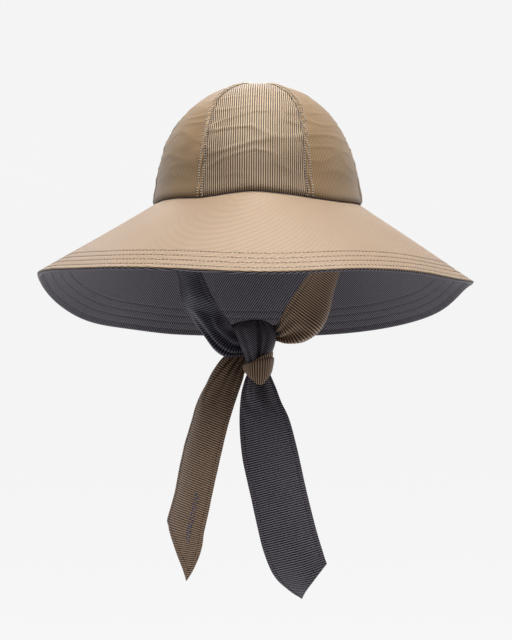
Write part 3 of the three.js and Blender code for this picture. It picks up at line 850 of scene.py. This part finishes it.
def ribbon_surface(stations, towards, rows, columns, cut=None, pleated=None, seed=0):
    """A tie's middle surface. A station is (left edge, right edge, [belly, fold, ripple]), in mm,
    and towards is the side that a belly swells to. cut gives the stations where the left and
    right edges end, and pleated the shares of the length where pleats begin and where they are
    full. Returns points and the uv in mm."""
    fine = 400
    left = through([s[0] for s in stations], fine)
    right = through([s[1] for s in stations], fine)
    waves = through([s[2] for s in stations], fine)
    middle = (left + right) / 2
    length = np.concatenate([[0], np.cumsum(np.linalg.norm(np.diff(middle, axis=0), axis=1))])
    across = crowded_to_edges(columns, TIE_CROWDING)[None, :]
    numbers = np.linspace(0, len(stations) - 1, fine)
    last = len(stations) - 1
    ends = np.interp((last, last) if cut is None else cut, numbers, length) / length[-1]
    reach = ends[0] + (ends[1] - ends[0]) * across
    share = np.linspace(0, 1, rows)[:, None] * reach
    at = share * length[-1]

    def sample(values):
        return np.stack([np.interp(at, length, values[:, i]) for i in range(values.shape[1])], axis=-1)

    l, r, w = sample(left), sample(right), sample(waves)
    u = across[..., None]
    flat = l * (1 - u) + r * u
    tangent = sample(np.gradient(middle, axis=0))
    normal = np.cross(r - l, tangent)
    normal /= np.maximum(np.linalg.norm(normal, axis=2, keepdims=True), 1e-9)
    normal *= np.sign(np.sum(normal * np.array(towards), axis=2, keepdims=True) + 1e-9)
    swell = (w[..., 0] * np.sin(pi * across) + w[..., 1] * np.sin(2 * pi * across)
             + w[..., 2] * np.sin(3 * pi * across))
    if pleated is not None:  # cloth squeezed into less than its width stands up in pleats
        width = np.linalg.norm(r - l, axis=2)
        spare = np.clip(TIE_WIDTH / np.maximum(width, 1) - 1.25, 0, None)
        deep = np.minimum(2.0, width / 9.4 * np.sqrt(spare))
        where = np.clip((share - pleated[0]) / (pleated[1] - pleated[0]), 0, 1)
        wander = 0.5 * smooth_noise(seed + 2, at / 12.0, across * 3)
        free = np.clip(np.minimum(across, 1 - across) / 0.16, 0, 1)  # the sewn edges stay flat
        swell = swell + free * deep * where * np.sin(2 * pi * (3 * across + wander))
    points = flat + normal * swell[..., None]
    uv = np.stack(np.broadcast_arrays(at, (across - 0.5) * TIE_WIDTH), axis=-1)
    return points, uv


def ribbon_pair(name, stations, towards, front, back, rows=170, columns=56, cut=None, pleated=None,
                ripple=0.25, seed=0):
    """The two layers of a tie, face to face, and the lines of its topstitching."""
    points, uv = ribbon_surface(stations, towards, rows, columns, cut, pleated, seed)
    normal = grid_normals(points, False)
    normal *= np.sign(np.sum(normal * np.array(towards), axis=2, keepdims=True) + 1e-9)
    from_edge = TIE_WIDTH / 2 - np.abs(uv[..., 1])
    tug = ripple * smooth_noise(seed, uv[..., 0] / 5.0, uv[..., 1] / 9.0) * np.exp(-from_edge / 8)
    points = points + normal * tug[..., None]
    round_off = np.sqrt(np.clip(1 - (1 - np.clip(from_edge / 0.9, 0, 1)) ** 2, 0, 1))
    dip = groove(from_edge - TIE_STITCH_INSET, 0.42, 0.8)
    made = []
    for side, material, label in ((1, front, "face"), (-1, back, "backing")):
        outer = (0.05 + 0.65 * round_off - dip)[..., None] * side
        inner = 0.04 * side
        if side < 0:  # the back layer stops short of the fold, so it doesn't show from the front
            across = np.gradient(points, axis=1)
            across /= np.maximum(np.linalg.norm(across, axis=2, keepdims=True), 1e-9)
            pull = 1.7 * np.exp(-from_edge / 2.0) * -np.sign(uv[..., 1])
            points = points + across * pull[..., None]
        upper, lower = points + normal * outer, points + normal * inner
        sheet = cloth_sheet(f"{name}_{label}_cloth", upper, lower, uv, material)
        made.append(sheet)
        SURFACES[sheet.name] = (upper, lower, normal * side)
    return made, uv


def ribbon_rows(name, label, end_row=False, skip=0):
    """Lines of topstitching along both edges of a tie's layer, and across its cut end. skip is
    how many rows of the mesh they leave free where the tie starts."""
    upper, _, normal = SURFACES[f"{name}_{label}_cloth"]
    raised = upper + normal * THREAD_LIFT
    lines = []
    share = crowded_to_edges(upper.shape[1], TIE_CROWDING)
    inset = TIE_STITCH_INSET / TIE_WIDTH
    last = upper.shape[0] - (1 + round(TIE_STITCH_INSET * 0.9) if end_row else 0)
    for place in (inset, 1 - inset):
        line = np.stack([[np.interp(place, share, row[:, i]) for i in range(3)] for row in raised[skip:last]])
        lines.append(line)
    if end_row:
        row = raised[last - 1]
        inside = (share > inset) & (share < 1 - inset)
        lines.append(row[inside])
    return lines


# %% Where the ties run
# Each tie runs from the crown seam down into the knot, and each tail from the knot to its cut end.
GREY_TIE = [
    ((-79.4, 24, 9), (-79.4, -24, 9), (0, 0, 0)),
    ((-79.2, 24, -8), (-78.4, -24, -8), (0, 0, 0)),
    ((-75.5, 23, -34), (-64, -22, -30), (2, 0, 0)),
    ((-67, 20, -58), (-47, -18, -56), (5, -1, 0)),
    ((-63, 17, -80), (-38.5, -15, -74), (7, -1.5, 0.5)),
    ((-56.5, 13, -92), (-30.5, -12, -88), (5, 1.5, -1.2)),
    ((-46, 9, -106), (-23, -9, -98), (6, 0, 0.8)),
    ((-36, 6, -120), (-19, -5, -103), (5, 0.8, 0.4)),
    ((-26, 5, -126), (-14.5, -4, -107), (3.5, 1, 0.3)),
    ((-13, 5, -125), (-6, -2, -108), (1.5, 0.5, 0.3)),
]
TAN_TIE = [
    ((79.4, -24, 9), (79.4, 24, 9), (0, 0, 0)),
    ((78.4, -24, -8), (79.2, 24, -9), (0, 0, 0)),
    ((62, -23, -31), (71.5, 23, -41), (4, -1, 0)),
    ((43.5, -20, -58), (59, 19.5, -72), (10, -3, 0)),
    ((33, -17, -72), (54.5, 17, -92), (12, -4, 1)),
    ((24.7, -13, -85), (49.5, 12, -105), (11, -4, 1.5)),
    ((19.5, -8, -94), (40, 8, -112.6), (8, -2, 2)),
    ((16.5, -3, -99), (30, 6, -114.8), (6, 0, 2)),
    ((13.5, 2, -103), (20, 5, -113.4), (3, 0, 1)),
    ((4, 5, -104), (7, 6, -112), (1, 0, 0.6)),
]
TAN_TAIL = [
    ((-14.5, 13, -113.5), (-5, 12.5, -119), (0.5, 0.5, 0.5)),
    ((-28, 12, -125.5), (-9.5, 10, -134), (2, 1.2, 1)),
    ((-35.5, 13, -135), (-12, 5, -145), (3, 2, 1)),
    ((-42.5, 16, -147.5), (-16.2, 2, -158), (4, 2, 1)),
    ((-50.5, 21, -163), (-21.5, -2, -175), (5, 1.5, 0.6)),
    ((-56, 24, -180), (-26.3, -6, -193), (4.5, 1, 0)),
    ((-61.5, 26, -199), (-30.8, -8, -213), (4.5, 0.8, 0)),
    ((-66, 27, -219), (-35, -8, -232), (4, 0.5, 0)),
    ((-69.5, 28, -237), (-38.5, -8, -249), (4, 0.3, 0)),
    ((-76.1, 28, -262), (-43.6, -8, -272), (3.5, 0, 0)),
    ((-80, 28, -282), (-45.8, -8, -286), (3, 0, 0)),
    ((-86, 28, -300), (-51, -8, -300), (3, 0, 0)),
    ((-92, 28, -313), (-58.2, -8, -312), (3, 0, 0)),
]
GREY_TAIL = [
    ((-6, 0, -137), (8.5, 0, -135), (1, 1, 1.5)),
    ((-9.9, -1, -145.5), (11.5, -1, -142.5), (2, 1.5, 2)),
    ((-13.1, -1, -157.5), (15.5, -1, -152), (2.5, 2.5, 2)),
    ((-14.6, -1, -172), (20, 0, -164), (3, 2.5, 1.2)),
    ((-14.6, 0, -188), (26.5, 0, -178), (3, 2.0, 0.6)),
    ((-12.9, 2, -208), (32, 0, -198), (2.5, 1, 0)),
    ((-9.6, 3, -225), (35.7, 0, -214), (2, 0.5, 0)),
    ((-5.2, 4, -244.5), (39.8, 0, -233), (2, 0, 0)),
    ((-0.8, 5, -264.5), (44.7, 0, -253.5), (2, 0, 0)),
    ((3.7, 8, -283.5), (49.5, 0, -272), (3, 0, 0)),
    ((8.8, 12, -299), (54, 0, -287), (4, -1, 0)),
    ((15, 17, -310.5), (57.6, 0, -298), (4, -1, 0)),
    ((26, 22, -320.5), (64, 0, -314), (4, -1, 0)),
    ((37.1, 24, -327.7), (70, 0, -326), (3, -1, 0)),
]

# The grey tie's face is the grey with painted shade, as it hangs under the brim.
grey_tie, grey_uv = ribbon_pair("grey_tie", GREY_TIE, (-1, -1, -0.3), GREY_SHADED, TAN,
                                pleated=(0.5, 0.85), seed=3)
tan_tie, tan_uv = ribbon_pair("tan_tie", TAN_TIE, (1, -1, -0.3), TAN, GREY, pleated=(0.5, 0.85), seed=4)
tan_tail, tan_tail_uv = ribbon_pair("tan_tail", TAN_TAIL, (0, -1, 0), TAN, GREY, cut=(9, 12),
                                    pleated=(0.40, 0.10), seed=5)
grey_tail, grey_tail_uv = ribbon_pair("grey_tail", GREY_TAIL, (0, -1, 0), GREY, TAN, cut=(13, 11),
                                      pleated=(0.35, 0.10), seed=6)

# %% [markdown]
# ## How the ties are placed
#
# Real ties bend where they leave the crown and where they leave the knot. A tie that was stiff would break
# away from the hat when it swings. Here each layer only has its placement baked into its mesh, and it rides
# on no body.


def bend_at_hinge(piece, kind):
    """Bakes the placement of a piece of a tie or a tail into its mesh; both kinds are treated alike."""
    if kind == "tie":
        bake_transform(piece)
    else:
        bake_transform(piece)


def join_tie(made, kind, uv):
    length = float(uv[..., 0].max()) * MM
    for sheet in made:
        node = sheet.name.replace("_cloth", "")
        bend_at_hinge(sheet, kind)
        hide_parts(node)
    return length


print("grey tie", join_tie(grey_tie, "tie", grey_uv), "m long")
print("tan tie", join_tie(tan_tie, "tie", tan_uv), "m long")
print("tan tail", join_tie(tan_tail, "tail", tan_tail_uv), "m long")
print("grey tail", join_tie(grey_tail, "tail", grey_tail_uv), "m long")

# %% Topstitching on the ties
for name, kind in (("grey_tie", "tie"), ("tan_tie", "tie"), ("tan_tail", "tail"), ("grey_tail", "tail")):
    lines = []
    for label in ("face", "backing"):
        lines += ribbon_rows(name, label, end_row=kind == "tail", skip=2)
    made = stitch_rows(f"{name}_topstitching", lines, **{"Stitch length": 0.0022, "Gap": 0.0008})
    bend_at_hinge(made, kind)

# %% [markdown]
# ## A plain sewn mark
#
# A maker often signs such a tie with a few stitches near its end. Here two short rows of plain
# running stitches in blue stand for that, with no letter or sign in them. They use the same stitch
# tree, with a thicker thread.

# %% The mark on the tan tail
MARK_LIFT = 0.12  # mm
MARK_ROWS = slice(116, 150)  # rows of the tail's mesh that the mark runs over
MARK_PLACES = (0.66, 0.72)  # shares of the tail's width
upper, _, normal = SURFACES["tan_tail_face_cloth"]
share = crowded_to_edges(upper.shape[1], TIE_CROWDING)
marked = (upper + normal * MARK_LIFT)[MARK_ROWS]
marks = [np.stack([[np.interp(place, share, row[:, i]) for i in range(3)] for row in marked])
         for place in MARK_PLACES]
mark = stitch_rows("tan_tail_mark", marks, **{"Stitch length": 0.0026, "Gap": 0.0012,
                                              "Thread radius": 0.0005, "Thread": BLUE_THREAD})
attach(mark, "tan_tail")

# %% [markdown]
# ## The knot
#
# The grey tie folds over the front and runs down into a tan band that wraps it. Cloth pulled
# this tight has no belly left to speak of: it is a firm lump with deep creases. So the fold is a
# closed body made from rings, with its front in two lobes and a crease between them, and the
# band is a padded ring around its neck.

# %% Rings helper
def ring_body(name, rings, material, uv_turn=False, closed_ends=True, lean=0.0):
    """A closed body through rings of points in mm, [rings, around, 3]. The ribs run round it, or
    down it with uv_turn, and lean slants them. Without closed_ends the last ring joins the first."""
    rings = np.asarray(rings)
    count, around = rings.shape[:2]
    steps = np.linalg.norm(np.roll(rings, -1, 1) - rings, axis=2)
    walked = np.concatenate([np.zeros((count, 1)), np.cumsum(steps, axis=1)], axis=1)
    typical = walked.mean(axis=0)
    down = np.linalg.norm(np.diff(rings.mean(axis=1), axis=0), axis=1)
    depth = np.concatenate([[0], np.cumsum(down)])
    verts = rings.reshape(-1, 3)
    faces, corners = [], []
    for r in range(count - 1 if closed_ends else count):
        s = (r + 1) % count
        for i in range(around):
            j = (i + 1) % around
            faces.append([r * around + i, r * around + j, s * around + j, s * around + i])
            corners += [(r, i), (r, i + 1), (r + 1, i + 1), (r + 1, i)]
    points = verts * MM
    poles = []
    if closed_ends:
        top, bottom = len(verts), len(verts) + 1
        points = np.vstack([points, rings[0].mean(axis=0) * MM, rings[-1].mean(axis=0) * MM])
        for i in range(around):
            j = (i + 1) % around
            poles.append([top, j, i])
            corners += [(0, i), (0, i + 1), (0, i)]
            base = (count - 1) * around
            poles.append([bottom, base + i, base + j])
            corners += [(count - 1, i), (count - 1, i), (count - 1, i + 1)]
    mesh = bpy.data.meshes.new(name)
    mesh.from_pydata(points.tolist(), [], faces + poles)
    depth = np.append(depth, depth[-1] + (down[-1] if len(down) else 1))
    turns = np.array([typical[i] for _, i in corners])
    downs = np.array([depth[min(r, count)] for r, _ in corners])
    x_of = np.append(rings[..., 0], rings[:, :1, 0], axis=1)
    tilt = np.array([x_of[min(r, count - 1), i] for r, i in corners]) * lean
    uv = np.column_stack([turns, downs]) if uv_turn else np.column_stack([downs + tilt, turns])
    mesh.uv_layers.new(name="cloth").data.foreach_set("uv", (uv * MM).astype(np.float32).ravel())
    if signed_volume(points, np.array(faces)) < 0:
        mesh.flip_normals()
    mesh.shade_smooth()
    mesh.materials.append(material)
    made = bpy.data.objects.new(name, mesh)
    bpy.context.collection.objects.link(made)
    return made


# %% The grey fold
# Height, left, right, front and back of the knot's body, in mm.
FOLD = [
    (-95.6, -6, 3, -2.0, 2.5),
    (-97.0, -13.5, 8, -4.5, 5),
    (-99.5, -19.5, 12.5, -6.5, 6.5),
    (-103, -22.3, 15.2, -8.2, 7.6),
    (-108, -20.3, 16.0, -9.2, 8.2),
    (-113, -17.4, 15.4, -9.4, 8.4),
    (-118, -15.0, 14.0, -9.2, 8.2),
    (-123, -12.4, 12.2, -8.6, 7.8),
    (-128, -10.2, 10.6, -7.8, 7.2),
    (-134, -8.8, 9.2, -6.8, 6.6),
    (-142, -7.4, 8.6, -6.0, 5.8),
    (-148, -6.0, 8.0, -5.0, 5.0),
]


def fold_rings(table, rings=90, around=112):
    """Rings of the knot's body, with one deep crease and two lighter ones down its front."""
    rows = through([list(row) for row in table], rings)
    angle = np.linspace(0, 2 * pi, around, endpoint=False)
    made = []
    for z, left, right, front, back in rows:
        c, s = np.cos(angle), np.sin(angle)
        x = (left + right) / 2 + (right - left) / 2 * np.sign(c) * np.abs(c) ** 0.85
        depth = np.where(s < 0, -front, back)
        y = np.sign(s) * np.abs(s) ** 0.75 * depth
        share = (x - left) / (right - left)
        crease = 0.60 + 0.03 * np.sin((z + 110) / 9)
        is_front = np.clip(-s * 2, 0, 1)
        y = y + is_front * (groove(share - crease, 5.2, 0.06) + groove(share - crease - 0.17, 2.2, 0.05)
                            + groove(share - 0.25, 1.4, 0.07))
        y = y - (1 - is_front) * groove(share - 0.4, 2.2, 0.09)
        wobble = 0.35 * smooth_noise(77, x / 5, z / 7, y / 5)
        ridge = np.clip((-96 - z) / 8, 0, 1)
        made.append(np.column_stack([x + wobble * c * ridge, y + wobble * s * ridge,
                                     z - 0.10 * (x + 2) * ridge]))
    return np.array(made)


knot_fold = ring_body("knot_fold_cloth", fold_rings(FOLD), GREY, lean=0.85)


# %% The tan band
# The knot's neck under the band: its half width and half depth at five distances down, in mm.
NECK_DOWN = [118, 128, 134, 142, 150]
NECK_HALF_WIDTH = [11.5, 10.4, 9.2, 8.2, 6.2]
NECK_HALF_DEPTH = [8.8, 8.0, 7.0, 6.2, 4.8]


def band_rings(top, bottom, drop, grow, thick, around=96, profile=26, seed=5):
    """A padded ring round the knot's neck. top and bottom are its edges' heights on the left and
    right, drop is how far the lower edge hangs in the middle, and grow how far it stands off."""
    loop = np.linspace(0, 2 * pi, profile, endpoint=False)
    made = []
    for a in np.linspace(0, 2 * pi, around, endpoint=False):
        c, s = cos(a), sin(a)
        share = (c + 1) / 2
        z_top = top[0] + (top[1] - top[0]) * share
        z_low = bottom[0] + (bottom[1] - bottom[0]) * share - drop * (1 - abs(c) ** 2.6) * (1 + 0.3 * c)
        middle, half = (z_top + z_low) / 2, (z_top - z_low) / 2
        up = np.sign(np.sin(loop)) * np.abs(np.sin(loop)) ** 0.8
        outward = (np.cos(loop) * 0.5 + 0.5) * thick
        z = middle + half * up
        neck = np.interp(-z, NECK_DOWN, NECK_HALF_WIDTH)
        deep = np.interp(-z, NECK_DOWN, NECK_HALF_DEPTH)
        pleat = 0.35 * smooth_noise(seed, a * 5, z / 9)
        x = 0.6 + c * (neck + grow + outward + pleat)
        y = s * (deep + grow + outward + pleat)
        made.append(np.column_stack([x, y, z]))
    return np.transpose(np.array(made), (1, 0, 2))


wrap = band_rings((-133.0, -126.8), (-139.0, -139.5), 10.6, 0.7, 3.0)
knot_wrap = ring_body("knot_wrap_cloth", wrap, TAN, uv_turn=True, closed_ends=False)
tuck = band_rings((-134.4, -121.9), (-137.5, -131), 1.0, 0.05, 1.6, seed=9)
knot_tuck = ring_body("knot_tuck_cloth", tuck, TAN, uv_turn=True, closed_ends=False)

# %% [markdown]
# ## The crossing
#
# Behind the knot the tan tie crosses from one side to the other. A knot this tight can't hold a tie
# lying flat, so the cloth is squeezed and folded over. A plain narrow strip would look much the same
# from the front, but it would lose about two thirds of the cloth. So the strip is folded in three
# here, and holds about four fifths of the tie's width.

# %% The crossing behind the knot
CROSSING = [
    ((20, 8, -99), (22, 9, -110)),
    ((10, 9.6, -101), (12, 10.4, -111.5)),
    ((-2, 10.2, -104), (-2, 11, -121)),
    ((-12, 10.4, -111), (-9, 11, -124)),
    ((-20, 10.2, -118.5), (-11, 10.6, -125.5)),
    ((-26, 10.0, -123), (-13.5, 10.2, -127.5)),
]
STRAP_THICKNESS = 1.2  # the tie's two layers, in mm


def folded_in_three(stations, towards, rows, turn=0.8, steps=9):
    """A tie folded in three along its length. A station is the folded tie's left and right edge, in
    mm, turn is the radius of each fold, and towards is the side that the layers build up on.
    Returns points and the uv in mm."""
    left = through([s[0] for s in stations], rows)
    right = through([s[1] for s in stations], rows)
    middle = (left + right) / 2
    along = np.concatenate([[0], np.cumsum(np.linalg.norm(np.diff(middle, axis=0), axis=1))])
    width = np.linalg.norm(right - left, axis=1)
    side = (right - left) / width[:, None]
    normal = np.cross(side, np.gradient(middle, axis=0))
    normal /= np.linalg.norm(normal, axis=1, keepdims=True)
    normal *= np.sign(normal @ np.array(towards, dtype=float))[:, None]
    run = np.linspace(0, 1, steps)
    bend = np.linspace(-pi / 2, pi / 2, steps)[1:-1]
    profile = [(s, 0, 0) for s in run]
    profile += [(1, turn * cos(b), turn * (1 + sin(b))) for b in bend]
    profile += [(1 - s, 0, 2 * turn) for s in run]
    profile += [(0, -turn * cos(b), turn * (3 + sin(b))) for b in bend]
    profile += [(s, 0, 4 * turn) for s in run]
    share, out, rise = np.array(profile).T
    place = turn + share * (width[:, None] - 2 * turn) + out
    points = left[:, None] + side[:, None] * place[..., None] + normal[:, None] * rise[:, None]
    steps_across = np.linalg.norm(np.diff(points, axis=1), axis=2)
    across = np.concatenate([np.zeros((rows, 1)), np.cumsum(steps_across, axis=1)], axis=1)
    uv = np.stack(np.broadcast_arrays(along[:, None], across - across[:, -1:] / 2), axis=-1)
    return points, uv


points, crossing_uv = folded_in_three(CROSSING, (0, 1, 0), 50)
normal = grid_normals(points, False) * STRAP_THICKNESS / 2
knot_crossing = cloth_sheet("knot_crossing_cloth", points + normal, points - normal, crossing_uv, TAN)
cloth_width = float(np.mean(np.ptp(crossing_uv[..., 1], axis=1)))
print("the folded crossing holds", round(cloth_width, 1), "mm of the tie's", TIE_WIDTH, "mm width")

# %% The knot joins the frame
for piece, node, slot in ((knot_fold, "knot_fold", "grey_cloth"), (knot_wrap, "knot_wrap", "tan_cloth"),
                          (knot_crossing, "knot_crossing", "tan_cloth"), (knot_tuck, None, "tan_cloth")):
    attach(piece, "tie_loop")
    if node:
        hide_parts(node)

# %% [markdown]
# ## The sewn-in ends
#
# Inside the crown, each tie ends in a short tab that is stitched flat against the lining, on the
# crown seam beside the ear. It hardly shows, but it is what carries the tie.

# %% Tie ends
TAB_OUTER, TAB_INNER = -3.7, -5.0  # its two faces, from the crown's surface, mm
TAB_RADIUS = 97.8  # half the crown's length at the tab, mm
TAB_FLARE = 0.9  # share of the crown's flare that the tab doesn't follow
TAB_BARS = (2, 9)  # rows of its mesh that are sewn down
TAB_BAR_LIFT = 0.1  # mm

for side, name, material, slot in ((-1, "grey_tie_anchor", GREY, "grey_cloth"),
                                   (1, "tan_tie_anchor", TAN, "tan_cloth")):
    span = np.arcsin(TIE_WIDTH / 2 / TAB_RADIUS)
    along = np.linspace(0.2, 9.8, 12)[:, None]
    rise = (2 / pi) * np.arcsin((along / HEIGHT) ** (FULLNESS / 2))
    angle = side * pi / 2 + np.linspace(-span, span, 30)[None, :]
    outer = crown_point(angle, rise, TAB_OUTER)
    inner = crown_point(angle, rise, TAB_INNER)
    for grid in (outer, inner):
        grid[..., 0] -= side * BASE_FLARE * np.exp(-((rise / 0.07) ** 2)) * TAB_FLARE
    across = np.linspace(-TIE_WIDTH / 2, TIE_WIDTH / 2, 30)[None, :]
    uv = np.stack(np.broadcast_arrays(along, across), axis=-1)
    tab = cloth_sheet(name + "_cloth", outer, inner, uv, material)
    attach(tab, "hat")
    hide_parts(name)
    rows = [inner[k, 2:-2] - [side * TAB_BAR_LIFT, 0, 0] for k in TAB_BARS]
    bar = stitch_rows(name + "_stitches", rows)
    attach(bar, "hat")
